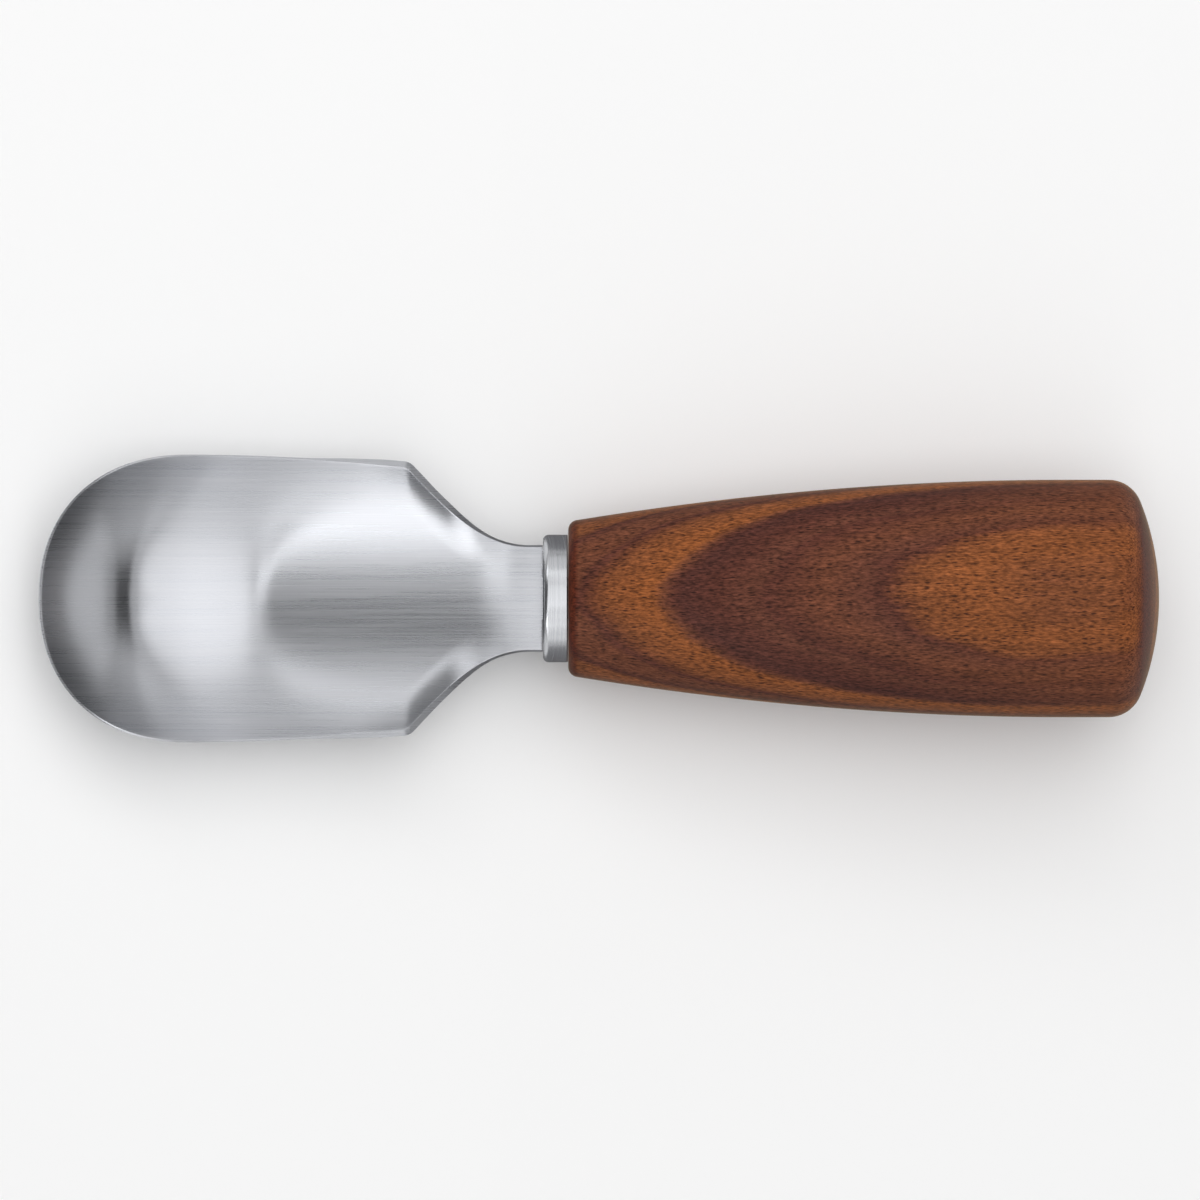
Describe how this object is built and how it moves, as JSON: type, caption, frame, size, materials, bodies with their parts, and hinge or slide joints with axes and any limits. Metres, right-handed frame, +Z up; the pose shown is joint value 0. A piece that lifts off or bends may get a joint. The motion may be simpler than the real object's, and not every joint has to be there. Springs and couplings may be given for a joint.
{
  "type": "serving scoop",
  "caption": "Serving scoop with a dished, square-shouldered steel blade, a short steel ferrule and a turned hardwood handle that swells to a rounded butt",
  "frame": {"origin": "on the table under the middle of the lying scoop", "axes": "+X from the blade's tip to the handle's butt, +Y across the blade, +Z up, out of the hollow of the bowl"},
  "size_m": [0.185, 0.0474, 0.0427],
  "materials": {
    "brushed_blade_steel": "brushed along the blade",
    "turned_ferrule_steel": "fine turned, satin",
    "handle_wood": "turned and oiled, satin",
    "cured_adhesive": "cured resin, hidden in the bore"
  },
  "bodies": {
    "root": {"scoop_blade": "brushed_blade_steel", "ferrule": "turned_ferrule_steel", "handle": "handle_wood", "tang_adhesive": "cured_adhesive"}
  },
  "joints": []
}
